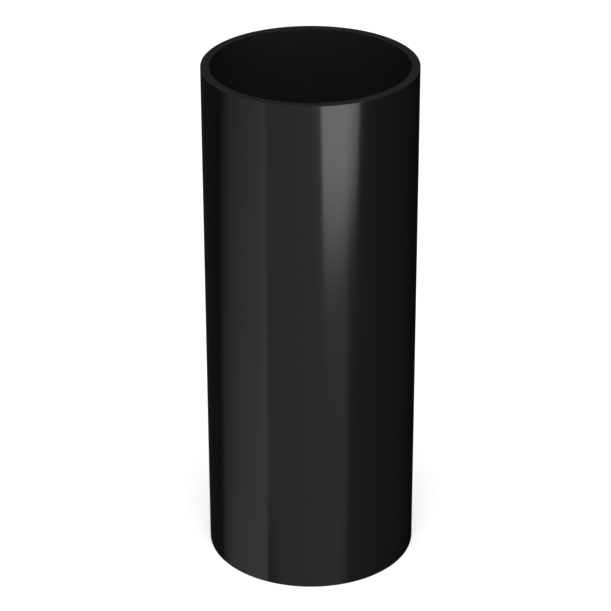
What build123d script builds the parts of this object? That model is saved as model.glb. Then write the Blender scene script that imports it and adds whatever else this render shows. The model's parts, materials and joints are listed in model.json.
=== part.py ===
from build123d import *
import os

# A short straight length of round downpipe, standing on its lower end.
# Extruded unplasticised PVC, plain at both ends: no socket, no rib, no spigot step.
# Millimetres. The origin is the centre of the lower end face, and +Z runs up the pipe.

# Sizes of the extruded stock
outside_diameter = 75.0  # what sockets slide over and pipe clips grip
wall_thickness = 3.0
pipe_length = 186.4  # from one sawn end to the other

# After the saw, a small flat is scraped off each corner of the two cut ends
outer_edge_break = 0.2
bore_edge_break = 0.2

outer_radius = outside_diameter / 2
bore_radius = outer_radius - wall_thickness

with BuildPart() as downpipe:
    # The wall's section as the die gives it: a plain ring
    with BuildSketch(Plane.XY) as wall_section:
        Circle(outer_radius)
        Circle(bore_radius, mode=Mode.SUBTRACT)
    extrude(amount=pipe_length)

    # Both ends are sawn square, so each has a corner at the bore and one at the outside
    sawn_corners = downpipe.edges().filter_by(GeomType.CIRCLE).group_by(SortBy.RADIUS)
    bore_corners, outer_corners = sawn_corners
    chamfer(outer_corners, outer_edge_break)
    chamfer(bore_corners, bore_edge_break)

downpipe.part.label = "downpipe"

os.makedirs("parts", exist_ok=True)
export_step(downpipe.part, "parts/downpipe.step")
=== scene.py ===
# %% [markdown]
# A short length of black rainwater downpipe
#
# The object is one plastic tube, pushed out of a die, cut to length with a saw and stood on
# its lower end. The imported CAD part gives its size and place. This lesson gives it its looks:
# a fine mesh, three finishes, a pale studio and the camera. Lengths are in metres, +Z runs up
# the pipe, and the origin is the centre of the lower end.

# %% Load the frame and read the pipe's sizes from it
import json
import math

import bmesh
import bpy
from mathutils import Matrix, Vector


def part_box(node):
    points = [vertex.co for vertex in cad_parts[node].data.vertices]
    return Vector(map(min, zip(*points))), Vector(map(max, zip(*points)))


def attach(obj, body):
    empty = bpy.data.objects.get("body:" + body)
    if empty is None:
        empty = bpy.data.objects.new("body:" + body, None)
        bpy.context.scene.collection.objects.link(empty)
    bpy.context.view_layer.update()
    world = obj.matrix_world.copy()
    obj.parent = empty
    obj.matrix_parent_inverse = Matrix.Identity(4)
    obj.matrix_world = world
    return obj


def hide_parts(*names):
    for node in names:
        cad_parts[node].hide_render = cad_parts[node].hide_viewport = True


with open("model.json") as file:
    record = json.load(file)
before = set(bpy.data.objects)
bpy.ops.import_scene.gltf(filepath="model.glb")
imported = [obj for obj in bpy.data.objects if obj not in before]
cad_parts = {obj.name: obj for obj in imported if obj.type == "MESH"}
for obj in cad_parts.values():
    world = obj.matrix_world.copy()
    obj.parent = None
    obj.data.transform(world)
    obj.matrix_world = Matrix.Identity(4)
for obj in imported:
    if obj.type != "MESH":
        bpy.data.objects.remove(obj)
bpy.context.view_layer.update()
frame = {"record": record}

MILLIMETRE = 0.001
pipe_low, pipe_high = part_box("downpipe")
bore_mount = next(mount for mount in frame["record"]["mounts"] if mount["name"] == "bore")

# The CAD mesh is a polygon, so its reach differs a little from side to side. The skin keeps
# to the least of the four, and so stays inside the CAD box.
outer_radius = min(-pipe_low.x, -pipe_low.y, pipe_high.x, pipe_high.y)
bore_radius = bore_mount["dims"]["r_mm"] * MILLIMETRE
pipe_length = pipe_high.z - pipe_low.z
edge_break = (pipe_length - bore_mount["dims"]["length_mm"] * MILLIMETRE) / 2
print(f"pipe {2 * outer_radius:.4f} across, bore {2 * bore_radius:.4f}, {pipe_length:.4f} long")

# %% [markdown]
# Colours and nodes
#
# Colours are written as sRGB hex, the way a colour card or a web page gives them. Blender's
# shaders work with linear light, so each hex value goes through one function. A second
# function adds a shader node with its settings and its links, so that a material below reads
# like a recipe. Nodes could also be wired up by hand in the editor, but then nobody could read
# here what they do.

# %% Helpers for materials


def linear(hex_colour):
    """The linear RGBA of an sRGB hex colour such as #232425, by the sRGB standard's formula."""
    channels = [int(hex_colour[i : i + 2], 16) / 255 for i in (1, 3, 5)]
    return [c / 12.92 if c <= 0.04045 else ((c + 0.055) / 1.055) ** 2.4 for c in channels] + [1.0]


def add_node(tree, kind, sockets=None, output=None, **settings):
    """Adds a node, fills or links its sockets, and returns its output, the first unless named."""
    node = tree.nodes.new(kind)
    for name, value in settings.items():
        setattr(node, name, value)
    inputs = {socket.identifier: socket for socket in node.inputs}
    for name, value in (sockets or {}).items():
        if isinstance(value, bpy.types.NodeSocket):
            tree.links.new(value, inputs[name])
        else:
            inputs[name].default_value = value
    outputs = {socket.identifier: socket for socket in node.outputs}
    return outputs[output] if output else next(iter(outputs.values()), None)


def new_material(name):
    """An empty node material and its tree."""
    material = bpy.data.materials.new(name)
    material.use_nodes = True
    material.node_tree.nodes.clear()
    return material, material.node_tree


print("the skin's paler black in linear light:", [round(c, 4) for c in linear("#0d0e0f")])

# %% [markdown]
# The skin: extruded unplasticised PVC
#
# Downpipe is rigid PVC, coloured right through with carbon black. The hot pipe is drawn
# through a polished sizing sleeve, which leaves a hard even gloss with hardly any texture, so
# the eye sees a deep black and a clear, slightly softened mirror image. What texture there is
# are die lines: very faint, straight streaks that run the whole length.
#
# One black with one roughness would look right only from afar, and a picture of scratches
# would show where it repeats. A noise stretched along the pipe has neither fault: it changes
# quickly round the pipe and hardly at all along it. Real die lines are some tenths of a
# millimetre apart and would vanish in the picture, so they are drawn about 2 mm apart. A
# second noise, some centimetres broad, shifts the black by a hair, because no plastic is
# mixed quite evenly.

# %% The skin's material
pvc_ior = 1.54
die_line_spacing = 2 * MILLIMETRE
die_line_height = 0.0012 * MILLIMETRE
shade_patch = 60 * MILLIMETRE
along_stretch = 0.02
skin_roughness = (0.13, 0.17)
# Most of a noise's values lie between these two
noise_range = (0.3, 0.7)

skin, tree = new_material("extruded_unplasticised_pvc_skin")
place = add_node(tree, "ShaderNodeTexCoord", output="Object")
drawn_out = add_node(tree, "ShaderNodeMapping", {"Vector": place, "Scale": (1, 1, along_stretch)})
die_lines = add_node(
    tree,
    "ShaderNodeTexNoise",
    {"Vector": drawn_out, "Scale": 1 / die_line_spacing, "Detail": 2.0},
)
shades = add_node(
    tree,
    "ShaderNodeTexNoise",
    {"Vector": drawn_out, "Scale": 1 / shade_patch, "Detail": 1.0},
)
skin_colour = add_node(
    tree,
    "ShaderNodeMix",
    {"Factor_Float": shades, "A_Color": linear("#0a0b0c"), "B_Color": linear("#0d0e0f")},
    output="Result_Color",
    data_type="RGBA",
)
roughness_by_line = add_node(
    tree,
    "ShaderNodeMapRange",
    {
        "Value": die_lines,
        "From Min": noise_range[0],
        "From Max": noise_range[1],
        "To Min": skin_roughness[0],
        "To Max": skin_roughness[1],
    },
)
skin_relief = add_node(
    tree,
    "ShaderNodeBump",
    {"Height": die_lines, "Distance": die_line_height, "Strength": 1.0},
)
skin_shader = add_node(
    tree,
    "ShaderNodeBsdfPrincipled",
    {
        "Base Color": skin_colour,
        "Roughness": roughness_by_line,
        "IOR": pvc_ior,
        "Normal": skin_relief,
    },
)
add_node(tree, "ShaderNodeOutputMaterial", {"Surface": skin_shader})
print("skin: die lines", die_line_spacing, "m apart,", die_line_height, "m high")

# %% [markdown]
# The sawn ends
#
# A fine-toothed saw tears the plastic a little, so a cut end is matt and looks greyer than
# the skin: the rough face scatters light in every direction. Its marks are straight, shallow
# scratches, all in the saw's direction.
#
# The scratches could be cut into the mesh, but they are far finer than any sensible face. So
# a noise stretched along X draws them, once as relief and once as a slight change of grey.
# Real tooth marks are about 0.3 mm apart; these are 0.6 mm, so that a close view shows them.

# %% The sawn ends' material
saw_mark_spacing = 0.6 * MILLIMETRE
saw_mark_depth = 0.02 * MILLIMETRE
saw_mark_strength = 0.5
saw_stretch = 0.03
sawn_roughness = 0.6

sawn, tree = new_material("sawn_unplasticised_pvc")
place = add_node(tree, "ShaderNodeTexCoord", output="Object")
stroke = add_node(tree, "ShaderNodeMapping", {"Vector": place, "Scale": (saw_stretch, 1, 1)})
saw_marks = add_node(
    tree,
    "ShaderNodeTexNoise",
    {"Vector": stroke, "Scale": 1 / saw_mark_spacing, "Detail": 3.0},
)
sawn_colour = add_node(
    tree,
    "ShaderNodeMix",
    {"Factor_Float": saw_marks, "A_Color": linear("#1c1d1e"), "B_Color": linear("#232425")},
    output="Result_Color",
    data_type="RGBA",
)
sawn_relief = add_node(
    tree,
    "ShaderNodeBump",
    {"Height": saw_marks, "Distance": saw_mark_depth, "Strength": saw_mark_strength},
)
sawn_shader = add_node(
    tree,
    "ShaderNodeBsdfPrincipled",
    {
        "Base Color": sawn_colour,
        "Roughness": sawn_roughness,
        "IOR": pvc_ior,
        "Normal": sawn_relief,
    },
)
add_node(tree, "ShaderNodeOutputMaterial", {"Surface": sawn_shader})
print("sawn ends: marks", saw_mark_spacing, "m apart")

# %% [markdown]
# The bore
#
# The inside never touches the sizing sleeve. It cools in the open and in the mist of the
# cooling bath, so it is duller than the outside, with soft streaks along it. It could share
# the skin's material, but then it would mirror the rim and look wet. It gets a material of
# its own, rougher and a little paler, with wider streaks made the same way.

# %% The bore's material
bore_streak = 3 * MILLIMETRE
bore_roughness = 0.4

dull, tree = new_material("extruded_unplasticised_pvc_bore")
place = add_node(tree, "ShaderNodeTexCoord", output="Object")
drawn_out = add_node(tree, "ShaderNodeMapping", {"Vector": place, "Scale": (1, 1, along_stretch)})
streaks = add_node(
    tree,
    "ShaderNodeTexNoise",
    {"Vector": drawn_out, "Scale": 1 / bore_streak, "Detail": 2.0},
)
bore_colour = add_node(
    tree,
    "ShaderNodeMix",
    {"Factor_Float": streaks, "A_Color": linear("#191b1d"), "B_Color": linear("#1f2123")},
    output="Result_Color",
    data_type="RGBA",
)
bore_shader = add_node(
    tree,
    "ShaderNodeBsdfPrincipled",
    {"Base Color": bore_colour, "Roughness": bore_roughness, "IOR": pvc_ior},
)
add_node(tree, "ShaderNodeOutputMaterial", {"Surface": bore_shader})
print("bore: streaks", bore_streak, "m apart")

# %% [markdown]
# The pipe's mesh
#
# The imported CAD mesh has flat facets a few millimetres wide, and on black gloss each one
# would show as a step in the reflections. The same wall is built again here, finely enough
# to look round. It could be a cylinder with a thinner one cut out of it, but a cut leaves
# untidy faces. A pipe is a body of revolution, so its wall starts as one rectangle, the wall
# cut along the axis. Its four corners are eased, as a deburring knife leaves them, and the
# outline is spun once round the axis, which gives clean faces all round.

# %% Draw the wall's section and spin it
steps_round = 256
corner_segments = 3
same_point_within = 0.001 * MILLIMETRE
section_corners = [
    (bore_radius, pipe_low.z),
    (outer_radius, pipe_low.z),
    (outer_radius, pipe_high.z),
    (bore_radius, pipe_high.z),
]

bm = bmesh.new()
corners = [bm.verts.new((across, 0, up)) for across, up in section_corners]
for corner, next_corner in zip(corners, corners[1:] + corners[:1]):
    bm.edges.new((corner, next_corner))
bmesh.ops.bevel(
    bm,
    geom=corners,
    offset=edge_break,
    offset_type="OFFSET",
    segments=corner_segments,
    profile=0.5,
    affect="VERTICES",
    material=-1,
)
bmesh.ops.spin(
    bm,
    geom=bm.verts[:] + bm.edges[:],
    cent=(0, 0, 0),
    axis=(0, 0, 1),
    angle=math.tau,
    steps=steps_round,
    use_merge=True,
)
bmesh.ops.remove_doubles(bm, verts=bm.verts, dist=same_point_within)
bmesh.ops.recalc_face_normals(bm, faces=bm.faces)
print("section spun:", len(bm.verts), "points,", len(bm.faces), "faces")

# %% [markdown]
# Which finish goes where
#
# On the real pipe the die made the skin and the bore, and the saw and the knife made the two
# ends. They could be three meshes, but then the wall would no longer be one closed piece. So
# the mesh stays whole and has one material slot for each finish. A face's own direction says
# what it is: the skin faces away from the axis, the bore faces the axis, and the cut ends and
# their eased corners face up or down. Where a tall wall or a flat end meets its corner the
# line is marked sharp, so that the wall is shaded as a true cylinder and the end as flat.

# %% Give each face its finish, and finish the piece
SKIN, SAWN, BORE = 0, 1, 2
# How far a face's normal points up or down: hardly on a wall, and fully on a flat end
wall_tilt = 0.01
end_tilt = 0.99

for face in bm.faces:
    face.smooth = True
    middle = face.calc_center_median()
    outward = face.normal.x * middle.x + face.normal.y * middle.y
    if abs(face.normal.z) > wall_tilt:
        face.material_index = SAWN
    else:
        face.material_index = SKIN if outward > 0 else BORE
for edge in bm.edges:
    finishes = {face.material_index for face in edge.link_faces}
    flat_sides = sum(abs(face.normal.z) > end_tilt for face in edge.link_faces)
    edge.smooth = len(finishes) == 1 and flat_sides != 1

mesh = bpy.data.meshes.new("downpipe_tube")
bm.to_mesh(mesh)
bm.free()
for material in (skin, sawn, dull):
    mesh.materials.append(material)
tube = bpy.data.objects.new("downpipe_tube", mesh)
bpy.context.scene.collection.objects.link(tube)

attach(tube, "root")
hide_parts("downpipe")
for index, material in enumerate(mesh.materials):
    count = sum(1 for face in mesh.polygons if face.material_index == index)
    print(material.name, "covers", count, "faces")

# %% [markdown]
# The camera
#
# The camera could be placed by eye, but the outline in the picture says where it stood: the
# curve of the rim and the taper of the sides fix it. It stood well back with a long lens and
# looked down at the pipe. The two small turns, to the side and about the line of sight, put
# the pipe where it stands in the picture.

# %% Set up the camera
IMAGE_SIDE = 611
SENSOR_WIDTH = 36.0
focal_pixels = 2510.5
camera_distance = 0.7985
camera_height = 0.4979
# A new camera looks straight down, and this turn makes it look level
up_to_level = math.radians(90)
look_down = math.radians(26.798)
turn_left = math.radians(0.133)
lean = math.radians(-0.142)

camera_data = bpy.data.cameras.new("camera")
camera_data.sensor_width = SENSOR_WIDTH
camera_data.lens = SENSOR_WIDTH * focal_pixels / IMAGE_SIDE
camera = bpy.data.objects.new("camera", camera_data)
camera.matrix_world = (
    Matrix.Translation((0, -camera_distance, camera_height))
    @ Matrix.Rotation(turn_left, 4, "Z")
    @ Matrix.Rotation(up_to_level - look_down, 4, "X")
    @ Matrix.Rotation(lean, 4, "Z")
)
bpy.context.scene.collection.objects.link(camera)
bpy.context.scene.camera = camera
print(f"lens {camera_data.lens:.1f} mm, {camera_distance} m away and {camera_height} m up")

# %% [markdown]
# The pale floor and the white behind it
#
# The pipe stands on a pale floor that runs out to white. Turning up the lamps until the floor
# is white would bleach the pipe too. Instead, the Light Path node lifts what the camera and
# clear or polished things see of the floor and of the world. Close to the pipe the lift is
# small, so that the floor keeps the pipe's soft shadow, and further out it grows, so that no
# horizon shows in a low view.

# %% Build the floor
floor_half = 12.0
floor_drop = 0.02 * MILLIMETRE
lift_beside_pipe = 0.4
lift_far_away = 1.0
shadow_reach = 0.6
all_white_from = 2.0


def seen_directly(tree):
    """One for rays of the camera, of gloss and of clear things, and zero for all others."""
    rays = tree.nodes.new("ShaderNodeLightPath").outputs
    either = add_node(
        tree,
        "ShaderNodeMath",
        {"Value": rays["Is Camera Ray"], "Value_001": rays["Is Glossy Ray"]},
        operation="MAXIMUM",
    )
    return add_node(
        tree,
        "ShaderNodeMath",
        {"Value": either, "Value_001": rays["Is Transmission Ray"]},
        operation="MAXIMUM",
    )


paper, tree = new_material("pale_paper_floor")
place = add_node(tree, "ShaderNodeTexCoord", output="Object")
from_pipe = add_node(
    tree,
    "ShaderNodeVectorMath",
    {"Vector": place},
    output="Value",
    operation="LENGTH",
)
lift = add_node(
    tree,
    "ShaderNodeMapRange",
    {
        "Value": from_pipe,
        "From Min": shadow_reach,
        "From Max": all_white_from,
        "To Min": lift_beside_pipe,
        "To Max": lift_far_away,
    },
)
lift_seen = add_node(
    tree,
    "ShaderNodeMath",
    {"Value": seen_directly(tree), "Value_001": lift},
    operation="MULTIPLY",
)
matt = add_node(tree, "ShaderNodeBsdfDiffuse", {"Color": linear("#ededed")})
glow = add_node(tree, "ShaderNodeEmission", {"Color": linear("#ffffff"), "Strength": lift_seen})
lit_paper = add_node(tree, "ShaderNodeAddShader", {"Shader": matt, "Shader_001": glow})
add_node(tree, "ShaderNodeOutputMaterial", {"Surface": lit_paper})

bm = bmesh.new()
bmesh.ops.create_grid(bm, x_segments=1, y_segments=1, size=floor_half)
bmesh.ops.translate(bm, verts=bm.verts, vec=(0, 0, pipe_low.z - floor_drop))
floor_mesh = bpy.data.meshes.new("floor")
bm.to_mesh(floor_mesh)
bm.free()
floor_mesh.materials.append(paper)
floor = bpy.data.objects.new("floor", floor_mesh)
bpy.context.scene.collection.objects.link(floor)
print("floor", 2 * floor_half, "m wide, white from", all_white_from, "m out")

# %% The world: white where it is seen, and a soft fill light otherwise
fill_strength = 0.4

world = bpy.data.worlds.new("studio")
bpy.context.scene.world = world
world.use_nodes = True
# The world is one even white, so Cycles need not search it for bright spots
world.cycles.sampling_method = "NONE"
tree = world.node_tree
tree.nodes.clear()
world_strength = add_node(
    tree,
    "ShaderNodeMapRange",
    {"Value": seen_directly(tree), "To Min": fill_strength, "To Max": 1.0},
)
background = add_node(
    tree,
    "ShaderNodeBackground",
    {"Color": linear("#ffffff"), "Strength": world_strength},
)
add_node(tree, "ShaderNodeOutputWorld", {"Surface": background})
print("fill light", fill_strength)

# %% [markdown]
# The key light
#
# One wide, soft lamp hangs above the pipe and a little in front of it. A small lamp would
# throw a hard shadow, and this one is so large that the shadow is soft. Its power is set so
# that each colour comes out about as it is written. Polished surfaces don't mirror it: what
# they mirror is set by the cards below.

# %% Hang the key light
key_side = 1.6
key_place = Vector((0.0, -0.7, 1.7))
key_power = 28.0

key_data = bpy.data.lights.new("key_light", "AREA")
key_data.shape = "SQUARE"
key_data.size = key_side
key_data.energy = key_power
key = bpy.data.objects.new("key_light", key_data)
key.location = key_place
key.rotation_euler = (-key_place).to_track_quat("-Z", "Y").to_euler()
key.visible_glossy = False
bpy.context.scene.collection.objects.link(key)
print("key light", key_side, "m square,", key_power, "W")

# %% [markdown]
# What the gloss mirrors
#
# A black gloss pipe has hardly any colour of its own. What the eye sees on it is a weak
# mirror image of the studio, squeezed into upright bands. In the picture both outlines are
# dark, the front is an even grey, the left is paler, and one bright streak fades out down
# the wall. A photographer gets this with black cloth all round and a few cards laid on the
# table. Painting the bands on the pipe would be simpler, but they would stay put when the
# view changes. So cloth and cards are set up here as well. They are seen by glossy rays
# alone, so they throw no light, no shadow and no shape into the picture.
#
# A card has to lie where the wall mirrors it to the camera. The helper below finds that
# place by the law of reflection. It takes the angle round the wall, which is 0 at the front
# and grows to the right, and how far out from the wall the card's point lies.

# %% Find the place on the table that the wall mirrors


def mirrored(around, reach):
    """The table point mirrored to the camera around degrees from the front, reach metres out."""
    facing = Vector((math.sin(math.radians(around)), -math.cos(math.radians(around)), 0))
    on_wall = facing * outer_radius
    sight = (on_wall - Vector((0, -camera_distance, 0))).normalized()
    return on_wall + sight.reflect(facing) * reach


def show_to_gloss_alone(name, bm, material):
    """Makes an object of the studio from a bmesh, and lets only glossy rays meet it."""
    stage_mesh = bpy.data.meshes.new(name)
    bm.to_mesh(stage_mesh)
    bm.free()
    stage_mesh.materials.append(material)
    stage_object = bpy.data.objects.new(name, stage_mesh)
    stage_object.visible_camera = False
    stage_object.visible_diffuse = False
    stage_object.visible_transmission = False
    stage_object.visible_shadow = False
    bpy.context.scene.collection.objects.link(stage_object)


sample_reach = 0.3
sample_place = [round(c, 3) for c in mirrored(0, sample_reach)]
print("straight ahead,", sample_reach, "m out, the wall mirrors the table at", sample_place)

# %% [markdown]
# The black cloth
#
# The cloth stands in for a dark room. It could be a box of four walls, but a box has corners,
# and gloss shows them as lines. So it is a half sphere on the table, with its open side closed
# by a flat sheet under the cards. Velvet isn't quite black, and nor is this.

# %% Drape the black cloth
cloth_radius = 1.3
cloth_steps_round = 48
cloth_steps_up = 24
cloth_rise = 0.05 * MILLIMETRE

velvet, tree = new_material("black_velvet")
velvet_shader = add_node(tree, "ShaderNodeBsdfDiffuse", {"Color": linear("#0c0c0c")})
add_node(tree, "ShaderNodeOutputMaterial", {"Surface": velvet_shader})

bm = bmesh.new()
bmesh.ops.create_uvsphere(
    bm,
    u_segments=cloth_steps_round,
    v_segments=cloth_steps_up,
    radius=cloth_radius,
)
bmesh.ops.bisect_plane(
    bm,
    geom=bm.verts[:] + bm.edges[:] + bm.faces[:],
    plane_co=(0, 0, cloth_rise),
    plane_no=(0, 0, -1),
    clear_outer=True,
)
rim_edges = [edge for edge in bm.edges if edge.is_boundary]
bmesh.ops.contextual_create(bm, geom=rim_edges)
show_to_gloss_alone("black_cloth", bm, velvet)
print("black cloth", 2 * cloth_radius, "m across")

# %% [markdown]
# The cards
#
# A card is a fine grid, bent so that its two long sides lie along mirrored lines. Its far end
# is turned up, for low views that look past the table. How bright it is could be drawn with
# nodes, but a plain formula is easier to read. It takes how far across the card a point lies,
# from 0 at its left to 1 at its right, and how far out from the wall, in metres. The answer is
# written on the point as an attribute, and the card shines as strongly as the attribute says.

# %% Helpers that shape light


def between(low, high, share):
    """The value that lies at a share of the way from low to high."""
    return low + (high - low) * share


def ramp(value, start, end):
    """Rises evenly from 0 at start to 1 at end, and then stays."""
    return min(max((value - start) / (end - start), 0.0), 1.0)


def soft_ramp(value, start, end):
    """Rises like ramp, but eases in and out."""
    share = ramp(value, start, end)
    return share * share * (3 - 2 * share)


def crown(across):
    """One along the middle of a card, and easing to nothing at its two sides."""
    return soft_ramp(1 - abs(2 * across - 1), 0.0, 1.0)


print("crown a quarter of the way across and in the middle:", crown(0.25), crown(0.5))

# %% The light of a card
light_attribute = "brightness"


def card_light(name, hex_colour, see_through):
    """A material that shines as its points say, and lets what lies under it show if see_through."""
    material, tree = new_material(name)
    # Mirrored rays find the card by themselves, so Cycles need not aim at it as at a lamp
    material.cycles.emission_sampling = "NONE"
    strength = add_node(
        tree,
        "ShaderNodeAttribute",
        output="Fac",
        attribute_name=light_attribute,
    )
    light = add_node(
        tree,
        "ShaderNodeEmission",
        {"Color": linear(hex_colour), "Strength": strength},
    )
    if see_through:
        clear = add_node(tree, "ShaderNodeBsdfTransparent")
        light = add_node(tree, "ShaderNodeAddShader", {"Shader": light, "Shader_001": clear})
    add_node(tree, "ShaderNodeOutputMaterial", {"Surface": light})
    return material


print("attribute that a card's light follows:", light_attribute)

# %% Lay one card
card_columns = 96
card_rows = 48
card_end = 1.1
card_upstand = 0.5
table_card_rise = 0.1 * MILLIMETRE
under_the_wall = -2 * MILLIMETRE


def raise_edges(bm, edges, height):
    """Extrudes edges straight up."""
    raised = bmesh.ops.extrude_edge_only(bm, edges=edges)["geom"]
    upper_points = [item for item in raised if isinstance(item, bmesh.types.BMVert)]
    bmesh.ops.translate(bm, verts=upper_points, vec=(0, 0, height))


def lay_card(
    name,
    left,
    right,
    brightness,
    hex_colour,
    place=mirrored,
    near=under_the_wall,
    rise=table_card_rise,
    upstand=card_upstand,
    see_through=False,
):
    """Lays a card between two sides, each given by its angles beside the pipe and at the far end."""
    # The grid is one by one until its points are put in their places
    half = 0.5
    bm = bmesh.new()
    bmesh.ops.create_grid(bm, x_segments=card_columns, y_segments=card_rows, size=half)
    far_edges = [
        edge for edge in bm.edges if all(math.isclose(end.co.y, half) for end in edge.verts)
    ]
    strength = bm.verts.layers.float.new(light_attribute)
    for point in bm.verts:
        across = point.co.x + half
        # Squared, so that the rows lie closer together beside the pipe
        along = (point.co.y + half) ** 2
        reach = between(near, card_end, along)
        point[strength] = brightness(across, reach)
        point.co = place(between(between(*left, along), between(*right, along), across), reach)
        point.co.z = pipe_low.z + rise
    brightest = max(point[strength] for point in bm.verts)
    if upstand:
        raise_edges(bm, far_edges, upstand)
    show_to_gloss_alone(name, bm, card_light(name, hex_colour, see_through))
    print(f"{name} laid from {left} to {right} degrees, up to {brightest:.2f} bright")


print("a card is", card_columns, "by", card_rows, "faces")

# %% [markdown]
# The left card
#
# On the left the wall shows a grey that dies away towards the outline, with a thin paler line
# where it meets the front. A card of one brightness would end in a hard line instead. This one
# is all but dark along its outer side, gains light fast and then slowly towards its inner
# side, and has one bright edge there. It also loses light with the distance from the pipe, as
# a real card does whose lamp hangs over the pipe.

# %% Lay the left card
left_gloom = 0.018
left_glow = 0.655
left_glow_lost_per_metre = 0.26
left_curve = 0.71
bright_edge = 0.33
bright_edge_across = (0.95, 0.98)
bright_edge_reach = (0.02, 0.14)


def left_card(across, reach):
    """How bright the left card is at a point."""
    body = across**left_curve * (left_glow - left_glow_lost_per_metre * reach)
    edge = bright_edge * ramp(across, *bright_edge_across) * ramp(reach, *bright_edge_reach)
    return left_gloom + body + edge


left_outer_side = (-59.1, -43.0)
left_inner_side = (-24.6, -22.5)
lay_card("left_card", left_outer_side, left_inner_side, left_card, "#f9fcff")

# %% [markdown]
# The front card
#
# Straight ahead the wall mirrors the table between the camera and the pipe, and shows an even,
# slightly blue grey. Close to the foot this grey is darker at its two sides, because there the
# pipe itself keeps light off the table. A real shadow would do that too, but what only glossy
# rays see catches no shadow. So the shade is part of the card's brightness.

# %% Lay the front card
front_glow = (0.392, 0.467)
front_glow_gained_per_metre = 0.037
foot_shade_reach = 0.09
left_foot_shade = 0.5
left_shade_across = (0.0, 0.2)
right_foot_shade = 0.3
right_shade_across = (0.85, 1.0)


def front_card(across, reach):
    """How bright the front card is at a point."""
    shade = left_foot_shade * (1 - soft_ramp(across, *left_shade_across))
    shade += right_foot_shade * soft_ramp(across, *right_shade_across)
    beside_foot = 1 - soft_ramp(reach, 0.0, foot_shade_reach)
    glow = between(*front_glow, across) + front_glow_gained_per_metre * reach
    return glow * (1 - beside_foot * shade)


front_right_side = (19.9, 19.9)
lay_card("front_card", left_inner_side, front_right_side, front_card, "#f5faff")

# %% [markdown]
# The right card
#
# The right of the wall is much darker than the left, and darkens evenly to almost nothing at
# the outline. Leaving the cloth bare there would end the front grey in a hard line with flat
# black beside it, and the wall would look cut off rather than round. So a dim card carries on
# where the front card ends.

# %% Lay the right card
right_gloom = 0.006
right_glow = 0.175
right_curve = 1.4


def right_card(across, reach):
    """How bright the right card is at a point."""
    return right_gloom + right_glow * (1 - across) ** right_curve


right_outer_side = (72.0, 72.0)
lay_card("right_card", front_right_side, right_outer_side, right_card, "#ecf6ff")

# %% [markdown]
# The two back cards
#
# The front view mirrors hardly anything of the table beside and behind the pipe, but a view
# from the side or the back does. With bare cloth there, the back would be one flat black. So
# two more cards carry a soft glow along their middle. It starts half a metre out, beyond what
# the front view mirrors, and leaves the dark outlines of the front as they are.

# %% Lay the back cards
back_glow_reach = (0.5, 0.9)
left_back_glow = 0.6
right_back_glow = 0.5


def left_back_card(across, reach):
    """How bright the left back card is at a point."""
    return left_gloom + left_back_glow * crown(across) * soft_ramp(reach, *back_glow_reach)


def right_back_card(across, reach):
    """How bright the right back card is at a point."""
    return right_gloom + right_back_glow * crown(across) * soft_ramp(reach, *back_glow_reach)


left_back_side = (-88.0, -88.0)
right_back_side = (88.0, 88.0)
lay_card("left_back_card", left_back_side, left_outer_side, left_back_card, "#f3faff")
lay_card("right_back_card", right_outer_side, right_back_side, right_back_card, "#f3faff")

# %% [markdown]
# The strip light in front
#
# The bright streak on the wall is the mirror image of a strip light. It lies on the cards, to
# the right of the front and some way out. Its sides are crisp, and the gloss itself softens
# them a little. Its near end is set askew and fades out over about two hands' width, so that
# the streak fades down the wall. It could be drawn into the cards, but it crosses the line
# between two of them. So it is a see-through card of its own, and its light is added to what
# lies under it.

# %% Lay the strip light in front
strip_glow = 2.6
strip_fade = (0.218, 0.39)
strip_askew = 0.057
strip_askew_across = (0.5, 1.0)
strip_dim_side = 0.29
strip_dim_across = (0.73, 1.0)
strip_tail = 0.06
strip_tail_fade = (0.12, 0.21)
strip_near = 0.1
strip_rise = 0.2 * MILLIMETRE


def strip_light(across, reach):
    """How bright the strip light is at a point."""
    set_back = strip_askew * ramp(across, *strip_askew_across)
    dimmed = 1 - strip_dim_side * ramp(across, *strip_dim_across)
    body = strip_glow * dimmed * soft_ramp(reach - set_back, *strip_fade)
    return body + strip_tail * ramp(reach, *strip_tail_fade)


lay_card(
    "strip_light",
    (8.2, 0.0),
    (22.2, 31.3),
    strip_light,
    "#f9fbfd",
    near=strip_near,
    rise=strip_rise,
    see_through=True,
)

# %% [markdown]
# The strip light behind
#
# The back of a real gloss pipe shows a streak too, wherever a lamp or a window stands. Here a
# second strip light lies on the table straight behind the pipe, where the front view can't
# see it mirrored. It isn't laid by the mirror helper, because that one works for the front
# view alone: a wedge that widens away from the pipe gives every view from behind its streak.

# %% Lay the strip light behind
rear_glow = 1.4
rear_glow_at_foot = 0.1
rear_fade = (0.03, 0.25)
rear_half_angle = 16.0


def behind(around, reach):
    """The table point around degrees from straight behind the pipe, reach metres out."""
    turn = math.radians(around)
    return Vector((math.sin(turn), math.cos(turn), 0)) * (outer_radius + reach)


def rear_strip_light(across, reach):
    """How bright the rear strip light is at a point."""
    fade = between(rear_glow_at_foot, 1.0, soft_ramp(reach, *rear_fade))
    return rear_glow * crown(across) * fade


lay_card(
    "rear_strip_light",
    (-rear_half_angle, -rear_half_angle),
    (rear_half_angle, rear_half_angle),
    rear_strip_light,
    "#f9fbfd",
    place=behind,
    rise=strip_rise,
    upstand=0.0,
)

# %% [markdown]
# The two screens
#
# At the pipe's outlines the eye meets the wall at a glancing angle, and there gloss mirrors
# nearly all the light it gets. Seen from behind, an outline would mirror the strip light in
# front, turn white and melt into the background. The strip light could be made dimmer, but
# then the front would lose its streak. So a narrow upright screen stands against the wall on
# each side, in the way of that light. An ordinary screen would show in the front view as a
# line. These are one-way: the side that looks backwards glows about as brightly as the cards
# nearby, a painted reflection of them, and the other side is clear.

# %% The one-way glow of the screens


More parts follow.
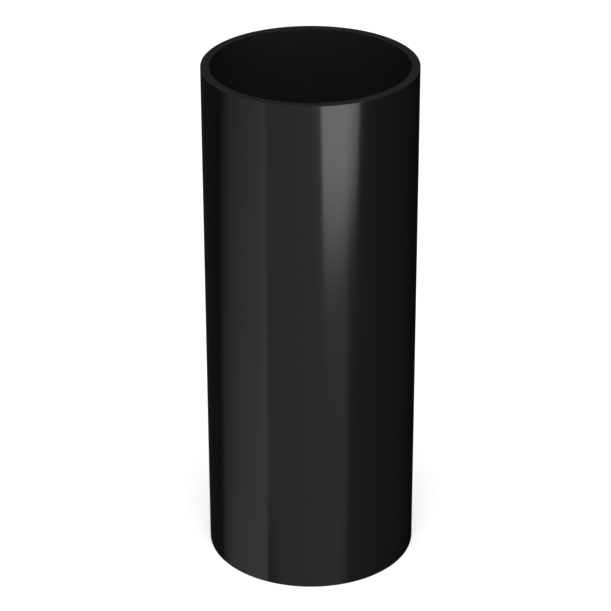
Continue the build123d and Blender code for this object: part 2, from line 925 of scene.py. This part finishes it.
def one_way_glow(name, glow):
    """A material that shines dimly on the front of a face and is clear from its back."""
    material, tree = new_material(name)
    # As with the cards, Cycles need not aim at it
    material.cycles.emission_sampling = "NONE"
    from_its_back = add_node(tree, "ShaderNodeNewGeometry", output="Backfacing")
    # The front of a screen glows about as brightly as the cards nearby: painted light in their place
    grey = add_node(tree, "ShaderNodeEmission", {"Color": linear("#f5faff"), "Strength": glow})
    clear = add_node(tree, "ShaderNodeBsdfTransparent")
    one_way = add_node(
        tree,
        "ShaderNodeMixShader",
        {"Fac": from_its_back, "Shader": grey, "Shader_001": clear},
    )
    add_node(tree, "ShaderNodeOutputMaterial", {"Surface": one_way})
    return material


print("screens are grey on the front of a face and clear from its back")

# %% Stand the two screens


def stand_screen(name, around, width, glow):
    """Stands a one-way screen against the wall, around degrees from the front."""
    bm = bmesh.new()
    foot = [bm.verts.new((0, -outer_radius - out, pipe_low.z)) for out in (0, width)]
    raise_edges(bm, [bm.edges.new(foot)], pipe_length)
    # It was drawn straight in front of the pipe, and now turns to its place
    turn = Matrix.Rotation(math.radians(around), 3, "Z")
    bmesh.ops.rotate(bm, verts=bm.verts, cent=(0, 0, 0), matrix=turn)
    bm.normal_update()
    # The grey front of the face has to look backwards, which is towards +Y
    bmesh.ops.reverse_faces(bm, faces=[face for face in bm.faces if face.normal.y < 0])
    show_to_gloss_alone(name, bm, one_way_glow(name, glow))
    print(f"{name} stands at {around} degrees and is {width:.3f} m wide")


left_screen_around = -40.0
left_screen_width = 18 * MILLIMETRE
left_screen_glow = 0.41
stand_screen("left_screen", left_screen_around, left_screen_width, left_screen_glow)

right_screen_around = 88.0
right_screen_width = 26 * MILLIMETRE
right_screen_glow = 0.1
stand_screen("right_screen", right_screen_around, right_screen_width, right_screen_glow)

# %% [markdown]
# The picture's colours
#
# Blender's usual view bends bright colours like film. The Standard view shows each colour as
# it is, and so a black stays as black as it is written.

# %% Set the view and finish
bpy.context.scene.view_settings.view_transform = "Standard"
